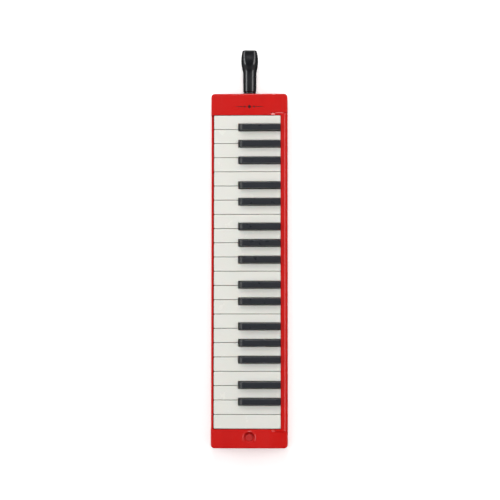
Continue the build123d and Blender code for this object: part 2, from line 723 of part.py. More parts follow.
def tube_sections(stations):
    """Rounded sections that stand across the blowing axis."""
    sections = []
    for distance, rise, width, height in stations:
        with BuildSketch(Plane.YZ.offset(flange_x0 - distance)) as section:
            with Locations((0, blow_z + rise)):
                RectangleRounded(width, height, 0.49 * min(width, height))
        sections.append(section.sketch)
    return sections


with BuildPart() as mouth_bore:
    loft(sections=tube_sections(bore_stations))

with BuildPart() as mouthpiece:
    loft(sections=tube_sections(neck_stations))
    fillet(mouthpiece.faces().sort_by(Axis.X)[-1].edges(), 1.2)
    loft(sections=tube_sections(head_stations))
    fillet(mouthpiece.faces().sort_by(Axis.X)[0].edges(), 1.0)
    bar_x(flange_x0 - 3, flange_x0, 0, blow_z, socket_radius + 0.6)
    bar_x(flange_x0 - 1, flange_x0 + plug_length, 0, blow_z, socket_radius - running_gap)
    chamfer(mouthpiece.edges().sort_by(Axis.X)[-1], 0.8)
    bar_x(flange_x0 - 1, flange_x0 + plug_length + 1, 0, blow_z, 4.4, Mode.SUBTRACT)
    add(mouth_bore.part, mode=Mode.SUBTRACT)
save(mouthpiece.part, "mouthpiece")


# --- condensation drain: button, return spring and the pad that seals the chest's drain hole ---
with BuildPart() as drain_button:
    post(drain_x, 0, guide_bottom - 1.2, button_top, button_radius)
    fillet(drain_button.edges().sort_by(Axis.Z)[-1], 0.7)
    post(drain_x, 0, button_top - 0.6, button_top + 1, 2.8, Mode.SUBTRACT)
    post(drain_x, 0, button_top - 0.7, button_top - 0.1, 1.5)
    post(drain_x, 0, guide_bottom - 2.2, guide_bottom - 0.02, button_radius + 1.2)
    post(drain_x, 0, drain_pad_z[0] + 0.6, guide_bottom - 2, stem_radius)
save(drain_button.part, "drain_button")

with BuildPart() as drain_pad:
    post(drain_x, 0, *drain_pad_z, drain_hole_radius + 1.6)
    post(drain_x, 0, drain_pad_z[0] + 0.6, drain_pad_z[1] + 1, stem_radius, Mode.SUBTRACT)
save(drain_pad.part, "drain_pad")

drain_coil_z = (drain_roof + 0.6, guide_bottom - 2.8)
coil_steps = 12 * drain_turns
coil_points = [
    (
        drain_x + drain_coil_radius * math.cos(math.tau * i / 12),
        drain_coil_radius * math.sin(math.tau * i / 12),
        drain_coil_z[0] + (drain_coil_z[1] - drain_coil_z[0]) * i / coil_steps,
    )
    for i in range(coil_steps + 1)
]
with BuildPart() as drain_spring:
    with BuildLine() as coil:
        Polyline(*coil_points)
    with BuildSketch(Plane(origin=coil.wire() @ 0, z_dir=coil.wire() % 0)):
        RegularPolygon(0.32, 6)
    sweep(transition=Transition.RIGHT)
save(drain_spring.part, "drain_spring")


# --- hand strap: one band sewn back on itself round a bar at each end of the hollow ---
with BuildPart() as hand_strap:
    loop_inner = strap_bar_radius + strap_gap
    loop_outer = loop_inner + strap_thickness
    band_top = strap_bar_z - loop_inner
    with BuildSketch(Plane.XZ):
        with BuildLine():
            Polyline(
                (strap_bar_x[0], band_top - strap_thickness), (strap_bar_x[1], band_top - strap_thickness),
                (strap_bar_x[1], band_top), (strap_bar_x[0], band_top), close=True,
            )
        make_face()
        for x, towards in ((strap_bar_x[0], 1), (strap_bar_x[1], -1)):
            with Locations((x, strap_bar_z)):
                Circle(loop_outer)
            lap_end = x + towards * strap_lap
            with BuildLine():
                Polyline(
                    (x, strap_bar_z), (x, strap_bar_z + loop_outer), (lap_end, band_top + strap_thickness),
                    (lap_end, band_top - strap_thickness), (x, band_top - strap_thickness), close=True,
                )
            make_face()
        for x, towards in ((strap_bar_x[0], 1), (strap_bar_x[1], -1)):
            with Locations((x, strap_bar_z)):
                Circle(loop_inner, mode=Mode.SUBTRACT)
            eye_end = x + towards * strap_eye
            with BuildLine():
                Polyline((x, strap_bar_z + loop_inner), (eye_end, band_top + 0.05), (x, band_top + 0.05),
                         close=True)
            make_face(mode=Mode.SUBTRACT)
    extrude(amount=strap_width / 2, both=True)
save(hand_strap.part, "hand_strap")
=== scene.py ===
import math

import bmesh
import bpy
from mathutils import Euler, Matrix, Vector


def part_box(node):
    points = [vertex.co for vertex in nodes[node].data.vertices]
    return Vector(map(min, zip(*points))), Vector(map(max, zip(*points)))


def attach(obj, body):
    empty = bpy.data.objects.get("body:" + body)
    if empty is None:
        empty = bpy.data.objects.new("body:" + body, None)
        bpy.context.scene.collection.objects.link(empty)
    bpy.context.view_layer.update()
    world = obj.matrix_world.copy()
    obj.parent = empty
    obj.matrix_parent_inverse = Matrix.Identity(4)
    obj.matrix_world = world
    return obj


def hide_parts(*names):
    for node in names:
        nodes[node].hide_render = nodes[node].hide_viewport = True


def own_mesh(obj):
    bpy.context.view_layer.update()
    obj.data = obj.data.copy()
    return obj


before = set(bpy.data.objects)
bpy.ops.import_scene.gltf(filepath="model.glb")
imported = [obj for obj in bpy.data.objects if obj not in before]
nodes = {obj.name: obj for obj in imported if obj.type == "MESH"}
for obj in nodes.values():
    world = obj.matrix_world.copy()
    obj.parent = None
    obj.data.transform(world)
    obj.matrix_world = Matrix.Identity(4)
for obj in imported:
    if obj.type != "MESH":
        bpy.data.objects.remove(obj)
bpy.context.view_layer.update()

mm = 0.001
scene = bpy.context.scene


# Camera: nearly straight above, leaning a little towards the treble end
cameraSet = {
    "aim": (-27.0, 1.0, 36.0),      # point on the keys' tops, mm
    "distance": 2317.0,             # mm
    "leanTreble": 3.57,             # degrees from upright
    "leanRear": 1.62,
    "twist": -0.07,
    "lens": 122.9,
    "sensor": 36.0,
    "clip": (0.1, 20.0),            # metres
}


def makeCamera(c):
    data = bpy.data.cameras.new("mainCamera")
    data.lens = c["lens"]
    data.sensor_width = c["sensor"]
    data.clip_start, data.clip_end = c["clip"]
    data.dof.use_dof = False
    camera = bpy.data.objects.new("mainCamera", data)
    lean = Euler([math.radians(a) for a in (-c["leanRear"], c["leanTreble"], c["twist"])])
    turn = lean.to_matrix() @ Matrix.Rotation(math.radians(90), 3, "Z")   # mouthpiece to the top
    away = turn @ Vector((0, 0, 1))
    place = Vector(c["aim"]) * mm + away * c["distance"] * mm
    camera.matrix_world = Matrix.Translation(place) @ turn.to_4x4()
    scene.collection.objects.link(camera)
    scene.camera = camera
    return camera


camera = makeCamera(cameraSet)
print("stage: camera")


# Light and floor
lightSet = {
    # brightness of the room against the cosine to the sky's axis: below the table, walls, dark ceiling
    "sky": ((-1.0, 0.06), (-0.05, 0.08), (0.30, 0.34), (0.74, 0.34), (0.91, 0.05), (1.0, 0.04)),
    "skyAxis": (0.36, -0.12, 0.925),        # middle of the dark ceiling, which gloss on top mirrors
    "boxes": (
        # name, place in metres, size, power, colour, whether gloss mirrors it
        ("headBox", (-1.5, 0.0, 1.35), (0.55, 0.75), 12.5, (1.0, 0.985, 0.97), True),
        ("railBox", (0.0, 1.40, 1.12), (1.9, 0.7), 12.0, (1.0, 0.98, 0.97), True),
        ("frontBox", (0.0, -1.55, 0.98), (1.9, 0.7), 14.0, (0.97, 0.985, 1.0), True),
        ("topFill", (0.0, 0.0, 2.8), (1.6, 1.6), 17.0, (1.0, 0.995, 0.985), False),
    ),
    "floorHalf": 4.0,
    "floorDrop": 0.0002,    # below the object's feet
    "floorTone": (0.96, 0.96, 0.96, 1),
    "floorRough": 0.9,
    "floorGlow": 0.31,      # a light table's share of the floor's brightness
}


def makeLights(c):
    world = bpy.data.worlds.new("studio")
    scene.world = world
    world.use_nodes = True
    tree = world.node_tree
    where = tree.nodes.new("ShaderNodeTexCoord")
    upward = tree.nodes.new("ShaderNodeVectorMath")
    upward.operation = "DOT_PRODUCT"
    upward.inputs[1].default_value = c["skyAxis"]
    level = tree.nodes.new("ShaderNodeMapRange")
    level.inputs["From Min"].default_value = -1.0
    fade = tree.nodes.new("ShaderNodeValToRGB")
    stops = fade.color_ramp.elements
    while len(stops) < len(c["sky"]):
        stops.new(1.0)
    for stop, (cosine, strength) in zip(stops, c["sky"]):
        stop.position = (cosine + 1) / 2
        stop.color = (strength, strength, strength, 1)
    tree.links.new(where.outputs["Generated"], upward.inputs[0])
    tree.links.new(upward.outputs["Value"], level.inputs["Value"])
    tree.links.new(level.outputs["Result"], fade.inputs["Fac"])
    tree.links.new(fade.outputs["Color"], tree.nodes["Background"].inputs["Color"])
    for name, place, size, power, colour, mirrored in c["boxes"]:
        data = bpy.data.lights.new(name, "AREA")
        data.shape = "RECTANGLE"
        data.size, data.size_y = size
        data.energy = power
        data.color = colour
        lamp = bpy.data.objects.new(name, data)
        lamp.location = place
        lamp.visible_glossy = mirrored
        lamp.rotation_euler = (-Vector(place)).to_track_quat("-Z", "Y").to_euler()
        scene.collection.objects.link(lamp)


def makeFloor(c):
    half = c["floorHalf"]
    mesh = bpy.data.meshes.new("studioFloor")
    corners = [(-half, -half), (half, -half), (half, half), (-half, half)]
    mesh.from_pydata([(x, y, -c["floorDrop"]) for x, y in corners], [], [(0, 1, 2, 3)])
    floor = bpy.data.objects.new("studioFloor", mesh)
    scene.collection.objects.link(floor)
    paper = bpy.data.materials.new("palePaper")
    paper.use_nodes = True
    shader = paper.node_tree.nodes["Principled BSDF"]
    shader.inputs["Base Color"].default_value = c["floorTone"]
    shader.inputs["Roughness"].default_value = c["floorRough"]
    shader.inputs["Emission Color"].default_value = (1, 1, 1, 1)
    shader.inputs["Emission Strength"].default_value = c["floorGlow"]
    mesh.materials.append(paper)
    floor.visible_glossy = False    # so that the sides mirror the dark below the table


makeLights(lightSet)
makeFloor(lightSet)
scene.view_settings.view_transform = "Standard"
print("stage: light and floor")


# Material helpers
class Recipe:
    # a material's node tree with short ways of adding to it
    def __init__(self, name):
        self.material = bpy.data.materials.new(name)
        self.material.use_nodes = True
        self.tree = self.material.node_tree
        self.shader = self.tree.nodes["Principled BSDF"]
        self.place = self.add("ShaderNodeTexCoord").outputs["Object"]

    def add(self, kind, **settings):
        node = self.tree.nodes.new(kind)
        for key, value in settings.items():
            setattr(node, key, value)
        return node

    def join(self, source, target):
        self.tree.links.new(source, target)

    def stretched(self, scale, turn=(0, 0, 0)):
        # Object coordinates, scaled per axis
        mapping = self.add("ShaderNodeMapping")
        mapping.inputs["Scale"].default_value = scale
        mapping.inputs["Rotation"].default_value = turn
        self.join(self.place, mapping.inputs["Vector"])
        return mapping.outputs["Vector"]

    def noise(self, scale, detail=2.0, rough=0.5, place=None, warp=0.0):
        node = self.add("ShaderNodeTexNoise")
        node.inputs["Scale"].default_value = scale
        node.inputs["Detail"].default_value = detail
        node.inputs["Roughness"].default_value = rough
        node.inputs["Distortion"].default_value = warp
        self.join(place or self.place, node.inputs["Vector"])
        return node.outputs["Fac"]

    def ramp(self, source, low, high, first=0.0, last=1.0):
        node = self.add("ShaderNodeMapRange")
        node.inputs["From Min"].default_value = low
        node.inputs["From Max"].default_value = high
        node.inputs["To Min"].default_value = first
        node.inputs["To Max"].default_value = last
        self.join(source, node.inputs["Value"])
        return node.outputs["Result"]

    def math(self, operation, first, second=0.0):
        node = self.add("ShaderNodeMath", operation=operation)
        for socket, value in zip(node.inputs, (first, second)):
            if isinstance(value, (int, float)):
                socket.default_value = value
            else:
                self.join(value, socket)
        return node.outputs["Value"]

    def mix(self, factor, first, second):
        node = self.add("ShaderNodeMix", data_type="RGBA")
        for socket, value in zip((node.inputs[0], node.inputs[6], node.inputs[7]), (factor, first, second)):
            if isinstance(value, (int, float)):
                socket.default_value = value
            elif isinstance(value, tuple):
                socket.default_value = (*value, 1)
            else:
                self.join(value, socket)
        return node.outputs[2]

    def axis(self, letter):
        split = self.add("ShaderNodeSeparateXYZ")
        self.join(self.place, split.inputs["Vector"])
        return split.outputs[letter]

    def bump(self, height, strength, distance, under=None):
        node = self.add("ShaderNodeBump")
        node.inputs["Strength"].default_value = strength
        node.inputs["Distance"].default_value = distance
        self.join(height, node.inputs["Height"])
        if under is not None:
            self.join(under, node.inputs["Normal"])
        self.join(node.outputs["Normal"], self.shader.inputs["Normal"])
        return node.outputs["Normal"]

    def colour(self, source):
        if isinstance(source, tuple):
            self.shader.inputs["Base Color"].default_value = (*source, 1)
        else:
            self.join(source, self.shader.inputs["Base Color"])

    def set(self, **values):
        for key, value in values.items():
            socket = self.shader.inputs[key.replace("_", " ")]
            if isinstance(value, (int, float, tuple)):
                socket.default_value = value
            else:
                self.join(value, socket)


# Finishes
def caseRed(name, stipple=False):
    # glossy moulded plastic: faint flow clouds, orange peel, hairline scuffs and dust
    r = Recipe(name)
    cloud = r.noise(9.0, 3.0, 0.55, warp=0.6)
    flow = r.noise(4.0, 2.0, 0.5, r.stretched((3.0, 18.0, 18.0)))
    body = r.mix(cloud, (0.560, 0.0045, 0.0030), (0.640, 0.0070, 0.0045))
    body = r.mix(r.ramp(flow, 0.45, 0.75, 0.0, 0.35), body, (0.500, 0.0035, 0.0026))
    dust = r.noise(2600.0, 1.0, 0.5)
    body = r.mix(r.ramp(dust, 0.74, 0.80, 0.0, 0.25), body, (0.72, 0.42, 0.40))
    r.colour(body)
    scuff = r.noise(60.0, 4.0, 0.7, r.stretched((1.0, 34.0, 8.0), (0, 0, 0.35)))
    wear = r.noise(22.0, 3.0, 0.6)
    rough = r.math("ADD", r.ramp(wear, 0.35, 0.7, 0.17, 0.26), r.ramp(scuff, 0.62, 0.70, 0.0, 0.10))
    r.set(Roughness=rough, Specular_IOR_Level=0.42)
    peel = r.bump(r.noise(900.0, 2.0, 0.5), 0.10, 0.00006)
    lines = r.bump(r.ramp(scuff, 0.62, 0.72), 0.10, 0.00004, peel)
    if stipple:
        low = r.ramp(r.axis("Z"), 0.0006, 0.0016, 1.0, 0.0)
        pits = r.math("MULTIPLY", r.noise(2300.0, 3.0, 0.65), low)
        r.bump(pits, 0.8, 0.00012, lines)
    return r.material


def buttonRed(name):
    # the drain button: the same plastic, finely eroded to a satin skin
    r = Recipe(name)
    r.colour(r.mix(r.noise(90.0, 3.0, 0.6), (0.500, 0.013, 0.012), (0.570, 0.021, 0.019)))
    grain = r.noise(5200.0, 3.0, 0.65)
    r.set(Roughness=r.ramp(grain, 0.3, 0.7, 0.34, 0.48), Specular_IOR_Level=0.5)
    r.bump(grain, 0.35, 0.00005)
    return r.material


def padBand(r, body, padTop):
    # the pad bonded under a key's tail is dark, whatever the key's colour
    edge = 0.02 * mm
    mask = r.ramp(r.axis("Z"), padTop - edge, padTop + edge, 1.0, 0.0)
    return r.mix(mask, body, (0.045, 0.038, 0.034)), mask


def keyWhite(name, padTop):
    r = Recipe(name)
    cloud = r.noise(26.0, 3.0, 0.5)
    body = r.mix(cloud, (0.770, 0.770, 0.715), (0.815, 0.812, 0.765))
    grime = r.noise(140.0, 4.0, 0.65)
    body = r.mix(r.ramp(grime, 0.60, 0.80, 0.0, 0.16), body, (0.63, 0.60, 0.51))
    body, mask = padBand(r, body, padTop)
    r.colour(body)
    touch = r.noise(70.0, 3.0, 0.6)
    rough = r.math("MAXIMUM", r.ramp(touch, 0.3, 0.75, 0.16, 0.30), r.math("MULTIPLY", mask, 0.9))
    r.set(Roughness=rough, Specular_IOR_Level=0.5, Subsurface_Weight=0.08, Subsurface_Scale=0.002)
    peel = r.bump(r.noise(700.0, 2.0, 0.5), 0.08, 0.00005)
    lines = r.noise(50.0, 4.0, 0.7, r.stretched((30.0, 1.0, 6.0), (0, 0, 0.1)))
    r.bump(r.ramp(lines, 0.64, 0.74), 0.08, 0.00003, peel)
    return r.material


def keyBlack(name, padTop):
    r = Recipe(name)
    cloud = r.noise(40.0, 3.0, 0.5)
    body = r.mix(cloud, (0.0170, 0.0195, 0.0250), (0.0240, 0.0270, 0.0335))
    dust = r.noise(1900.0, 1.0, 0.5)
    body = r.mix(r.ramp(dust, 0.73, 0.80, 0.0, 0.2), body, (0.30, 0.30, 0.30))
    body, mask = padBand(r, body, padTop)
    r.colour(body)
    touch = r.noise(95.0, 3.0, 0.6)
    rough = r.math("MAXIMUM", r.ramp(touch, 0.3, 0.75, 0.26, 0.40), r.math("MULTIPLY", mask, 0.9))
    r.set(Roughness=rough, Specular_IOR_Level=0.5)
    grain = r.bump(r.noise(2400.0, 2.0, 0.6), 0.18, 0.00004)
    lines = r.noise(60.0, 4.0, 0.7, r.stretched((26.0, 1.0, 6.0), (0, 0, -0.08)))
    r.bump(r.ramp(lines, 0.64, 0.74), 0.10, 0.00003, grain)
    return r.material


def blackGloss(name):
    # mouthpiece and socket: polished moulding with a hairline parting seam
    r = Recipe(name)
    cloud = r.noise(60.0, 3.0, 0.5)
    r.colour(r.mix(cloud, (0.0060, 0.0062, 0.0080), (0.0120, 0.0125, 0.0155)))
    smear = r.noise(120.0, 4.0, 0.65, warp=1.0)
    r.set(Roughness=r.ramp(smear, 0.35, 0.75, 0.14, 0.28), Specular_IOR_Level=0.6,
          Coat_Weight=0.3, Coat_Roughness=0.08)
    peel = r.bump(r.noise(1100.0, 2.0, 0.5), 0.07, 0.00005)
    side = r.math("ABSOLUTE", r.axis("Y"))
    r.bump(r.ramp(side, 0.00005, 0.00022, 1.0, 0.0), 0.25, 0.00008, peel)
    return r.material


def chassisPlastic(name):
    r = Recipe(name)
    r.colour(r.mix(r.noise(30.0, 4.0, 0.6), (0.42, 0.42, 0.39), (0.50, 0.50, 0.47)))
    r.set(Roughness=r.ramp(r.noise(80.0, 3.0), 0.3, 0.7, 0.42, 0.60))
    r.bump(r.noise(1500.0, 3.0, 0.6), 0.3, 0.00006)
    return r.material


def sealRubber(name):
    r = Recipe(name)
    r.colour(r.mix(r.noise(300.0, 3.0), (0.020, 0.020, 0.020), (0.036, 0.035, 0.034)))
    r.set(Roughness=r.ramp(r.noise(500.0, 2.0), 0.3, 0.7, 0.62, 0.80))
    r.bump(r.noise(2200.0, 3.0, 0.6), 0.4, 0.00008)
    return r.material


def rolledPlate(name):
    r = Recipe(name)
    grain = r.noise(40.0, 6.0, 0.7, r.stretched((1.0, 60.0, 60.0)))
    r.colour(r.mix(grain, (0.62, 0.62, 0.64), (0.76, 0.76, 0.78)))
    r.set(Metallic=1.0, Roughness=r.ramp(grain, 0.3, 0.7, 0.26, 0.42))
    r.bump(grain, 0.15, 0.00004)
    return r.material


def groundBrass(name):
    r = Recipe(name)
    grain = r.noise(60.0, 6.0, 0.7, r.stretched((70.0, 1.0, 70.0)))
    stain = r.noise(160.0, 4.0, 0.6)
    body = r.mix(grain, (0.66, 0.44, 0.16), (0.80, 0.58, 0.26))
    r.colour(r.mix(r.ramp(stain, 0.55, 0.75, 0.0, 0.5), body, (0.42, 0.25, 0.09)))
    r.set(Metallic=1.0, Roughness=r.ramp(grain, 0.3, 0.7, 0.24, 0.42))
    r.bump(grain, 0.2, 0.00003)
    return r.material


def platedSteel(name):
    r = Recipe(name)
    grain = r.noise(900.0, 4.0, 0.7)
    r.colour(r.mix(grain, (0.50, 0.50, 0.52), (0.66, 0.66, 0.68)))
    r.set(Metallic=1.0, Roughness=r.ramp(r.noise(400.0, 3.0), 0.3, 0.7, 0.18, 0.38))
    r.bump(grain, 0.1, 0.00002)
    return r.material


def woolFelt(name):
    r = Recipe(name)
    fibre = r.noise(1300.0, 6.0, 0.8, warp=2.0)
    r.colour(r.mix(fibre, (0.16, 0.012, 0.014), (0.34, 0.035, 0.034)))
    r.set(Roughness=0.95, Sheen_Weight=0.6, Sheen_Roughness=0.5)
    r.bump(fibre, 0.9, 0.0003)
    return r.material


def webbingThread(name, dark, light):
    # twill of warp and weft on the band's own UV map, u along and v across, in metres
    r = Recipe(name)
    uv = r.add("ShaderNodeUVMap", uv_map="weave").outputs["UV"]
    split = r.add("ShaderNodeSeparateXYZ")
    r.join(uv, split.inputs["Vector"])
    threadPitch = 1.1 * mm
    turns = 2 * math.pi / threadPitch
    along = r.math("MULTIPLY", split.outputs["X"], turns)
    across = r.math("MULTIPLY", split.outputs["Y"], turns)
    twill = r.math("SINE", r.math("ADD", along, across))
    warp = r.math("SINE", r.math("MULTIPLY", across, 2.0))
    weave = r.math("ADD", r.math("MULTIPLY", twill, 0.5), r.math("MULTIPLY", warp, 0.5))
    fibre = r.noise(1800.0, 4.0, 0.7)
    tone = r.ramp(r.math("ADD", weave, fibre), -0.6, 1.6)
    r.colour(r.mix(tone, dark, light))
    r.set(Roughness=r.ramp(fibre, 0.3, 0.7, 0.60, 0.82), Sheen_Weight=0.25, Sheen_Roughness=0.4)
    fine = r.bump(fibre, 0.25, 0.0001)
    r.bump(weave, 0.7, 0.00022, fine)
    return r.material


def sewingThread(name):
    r = Recipe(name)
    twist = r.noise(2400.0, 3.0, 0.6)
    r.colour(r.mix(twist, (0.11, 0.11, 0.115), (0.26, 0.26, 0.26)))
    r.set(Roughness=r.ramp(twist, 0.3, 0.7, 0.5, 0.7), Sheen_Weight=0.2)
    r.bump(twist, 0.5, 0.00005)
    return r.material


def inkPrint(name):
    r = Recipe(name)
    r.colour(r.mix(r.noise(900.0, 3.0), (0.030, 0.004, 0.004), (0.052, 0.007, 0.006)))
    r.set(Roughness=r.ramp(r.noise(600.0, 2.0), 0.3, 0.7, 0.30, 0.42))
    return r.material


padTop = 0.026    # the pads end where the keys' own plastic starts
finishes = {
    "case": caseRed("caseRed"),
    "tray": caseRed("caseRedStippled", stipple=True),
    "button": buttonRed("buttonRed"),
    "white": keyWhite("keyWhite", padTop),
    "black": keyBlack("keyBlack", padTop),
    "gloss": blackGloss("blackGloss"),
    "chassis": chassisPlastic("chassisPlastic"),
    "seal": sealRubber("sealRubber"),
    "plate": rolledPlate("rolledPlate"),
    "brass": groundBrass("groundBrass"),
    "steel": platedSteel("platedSteel"),
    "felt": woolFelt("woolFelt"),
    "strap": webbingThread("strapWebbing", (0.010, 0.010, 0.012), (0.050, 0.050, 0.056)),
    "stitch": sewingThread("sewingThread"),
    "ink": inkPrint("inkPrint"),
}

nodeFinish = {
    "upper_case": "case", "lower_case": "tray", "rear_rail": "case", "drain_button": "button",
    "wind_chest": "chassis", "chest_cover": "chassis", "chest_gasket": "seal", "inlet_seal": "seal",
    "drain_pad": "seal", "reed_plate_bass": "plate", "reed_plate_treble": "plate", "reeds": "brass",
    "reed_rivets": "brass", "reed_plate_screws": "steel", "chest_screws": "steel", "case_screws": "steel",
    "pivot_shaft": "steel", "key_springs": "steel", "drain_spring": "steel", "key_felt": "felt",
    "inlet_joint": "gloss", "mouthpiece": "gloss", "hand_strap": "strap",
}


def finishNodes():
    for name, obj in nodes.items():
        kind = nodeFinish.get(name) or ("black" if name.endswith("sharp") else "white")
        if not obj.material_slots:
            obj.data.materials.append(finishes[kind])
        for slot in obj.material_slots:
            slot.material = finishes[kind]


finishNodes()
print("stage: materials")


# Helpers for new pieces
def pieceFrom(name, mesh, finish):
    obj = bpy.data.objects.new(name, mesh)
    scene.collection.objects.link(obj)
    if finish and not mesh.materials:
        mesh.materials.append(finish)
    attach(obj, "case")    # every new piece stays with the case
    return obj


def meshFrom(name, verts, faces, smooth=True):
    mesh = bpy.data.meshes.new(name)
    mesh.from_pydata(verts, [], faces)
    mesh.update()
    work = bmesh.new()
    work.from_mesh(mesh)
    bmesh.ops.recalc_face_normals(work, faces=work.faces)
    work.to_mesh(mesh)
    work.free()
    for face in mesh.polygons:
        face.use_smooth = smooth
    return mesh


def bakedMesh(obj, name):
    # the evaluated result as a plain mesh; the working object goes
    graph = bpy.context.evaluated_depsgraph_get()
    mesh = bpy.data.meshes.new_from_object(obj.evaluated_get(graph), depsgraph=graph)
    mesh.name = name
    bpy.data.objects.remove(obj)
    return mesh


def clusters(node, gap):
    # centres of the separate solids of a CAD node, seen from above
    found = []
    for vert in nodes[node].data.vertices:
        flat = Vector((vert.co.x, vert.co.y))
        for group in found:
            if (group[0] - flat).length < gap:
                group[1].append(flat)
                break
        else:
            found.append((flat, [flat]))
    centres = []
    for _, spots in found:
        xs, ys = [p.x for p in spots], [p.y for p in spots]
        centres.append(((min(xs) + max(xs)) / 2, (min(ys) + max(ys)) / 2))
    return centres


def nodeTree(name, inputs):
    # a Geometry Nodes tree with a geometry in and out and the named inputs
    tree = bpy.data.node_groups.new(name, "GeometryNodeTree")
    tree.interface.new_socket("Geometry", in_out="INPUT", socket_type="NodeSocketGeometry")
    tree.interface.new_socket("Geometry", in_out="OUTPUT", socket_type="NodeSocketGeometry")
    for label, kind in inputs:
        tree.interface.new_socket(label, in_out="INPUT", socket_type="NodeSocket" + kind)
    return tree, tree.nodes.new("NodeGroupInput"), tree.nodes.new("NodeGroupOutput")


def runTree(obj, tree, values):
    modifier = obj.modifiers.new(tree.name, "NODES")
    modifier.node_group = tree
    for item in tree.interface.items_tree:
        if item.in_out == "INPUT" and item.name in values:
            modifier[item.identifier] = values[item.name]
    return bakedMesh(obj, obj.name)


# Case screws: cross-recessed pan heads, each left at its own turn
screwSet = {"headRadius": 2.75, "dome": 0.75, "rim": 1.2, "recess": 1.6, "slotWidth": 0.7,
            "depth": 1.2, "shank": 1.25, "tip": 6.0, "ease": 0.12, "segments": 40, "domeSteps": 8,
            "taper": 0.55, "over": 0.2, "headHeight": 2.0, "apart": 8.0, "seed": 7}


def screwHead(c):
    # lathed head, dome towards -Z, on a short shank
    profile = [(0.0, -c["dome"] - c["rim"])]
    for i in range(1, c["domeSteps"] + 1):
        a = math.radians(90 * i / c["domeSteps"])
        profile.append((c["headRadius"] * math.sin(a), -c["rim"] - c["dome"] * math.cos(a)))
    shank, tip, ease = c["shank"], c["tip"], c["ease"]
    profile += [(c["headRadius"], -ease), (c["headRadius"] - ease, 0.0)]
    profile += [(shank, 0.0), (shank, tip), (0.0, tip)]
    count = c["segments"]
    verts, faces, rings = [], [], []
    for radius, z in profile:
        if radius == 0.0:
            rings.append([len(verts)])
            verts.append((0, 0, z * mm))
            continue
        rings.append(list(range(len(verts), len(verts) + count)))
        for k in range(count):
            a = 2 * math.pi * k / count
            verts.append((radius * mm * math.cos(a), radius * mm * math.sin(a), z * mm))
    for low, high in zip(rings, rings[1:]):
        for k in range(count):
            n = (k + 1) % count
            if len(low) == 1:
                faces.append((low[0], high[k], high[n]))
            elif len(high) == 1:
                faces.append((low[k], low[n], high[0]))
            else:
                faces.append((low[k], low[n], high[n], high[k]))
    head = bpy.data.objects.new("screwHead", meshFrom("screwHead", verts, faces))
    scene.collection.objects.link(head)
    # tapered cross that the driver fits
    w, r, over, taper = c["slotWidth"] / 2, c["recess"], c["over"], c["taper"]
    top = -c["rim"] - c["dome"] - over
    arm = [(r, -w), (r, w), (w, w)]
    outline = []
    for _ in range(4):
        outline += arm
        arm = [(-y, x) for x, y in arm]
    low = [(x * mm, y * mm, top * mm) for x, y in outline]
    high = [(x * mm * taper, y * mm * taper, (top + over + c["depth"]) * mm) for x, y in outline]
    n = len(outline)
    sides = [(i, (i + 1) % n, n + (i + 1) % n, n + i) for i in range(n)]
    cross = bpy.data.objects.new(
        "cross", meshFrom("cross", low + high, sides + [tuple(range(n)), tuple(range(n, 2 * n))], False))
    scene.collection.objects.link(cross)
    cut = head.modifiers.new("cross", "BOOLEAN")
    cut.object, cut.operation, cut.solver = cross, "DIFFERENCE", "EXACT"
    mesh = bakedMesh(head, "screwHead")
    bpy.data.objects.remove(cross)
    master = bpy.data.objects.new("screwMaster", mesh)
    scene.collection.objects.link(master)
    return master


def screwTree():
    tree, source, result = nodeTree("screwsOnPoints", (
        ("Screw", "Object"), ("Seed", "Int"), ("Finish", "Material")))
    add, join = tree.nodes.new, tree.links.new
    info = add("GeometryNodeObjectInfo")
    scatter = add("GeometryNodeInstanceOnPoints")
    turn = add("FunctionNodeRandomValue")
    turn.data_type = "FLOAT"
    turn.inputs["Max"].default_value = math.pi
    spin = add("ShaderNodeCombineXYZ")
    realize = add("GeometryNodeRealizeInstances")
    paint = add("GeometryNodeSetMaterial")
    join(source.outputs["Geometry"], scatter.inputs["Points"])
    join(source.outputs["Screw"], info.inputs["Object"])
    join(info.outputs["Geometry"], scatter.inputs["Instance"])
    join(source.outputs["Seed"], turn.inputs["Seed"])
    join([o for o in turn.outputs if o.type == "VALUE" and o.enabled][0], spin.inputs["Z"])
    join(spin.outputs["Vector"], scatter.inputs["Rotation"])
    join(scatter.outputs["Instances"], realize.inputs["Geometry"])
    join(realize.outputs["Geometry"], paint.inputs["Geometry"])
    join(source.outputs["Finish"], paint.inputs["Material"])
    join(paint.outputs["Geometry"], result.inputs["Geometry"])
    return tree


def makeScrews(c):
    low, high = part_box("case_screws")
    seat = low.z + c["headHeight"] * mm
    spots = [(x, y, seat) for x, y in clusters("case_screws", c["apart"] * mm)]
    points = bpy.data.meshes.new("screwPoints")
    points.from_pydata(spots, [], [])
    carrier = bpy.data.objects.new("caseScrewHeads", points)
    scene.collection.objects.link(carrier)
    master = screwHead(c)
    mesh = runTree(carrier, screwTree(), {"Screw": master, "Seed": c["seed"], "Finish": finishes["steel"]})
    bpy.data.objects.remove(master)
    screws = pieceFrom("caseScrewHeads", mesh, None)
    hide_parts("case_screws")


makeScrews(screwSet)
print("stage: case screws")


# Return spring of the drain button: a round-wire compression coil
coilSet = {"wire": 0.3, "clear": 0.03, "turns": 5.0, "stepsPerTurn": 28, "around": 10, "travel": 2.0}


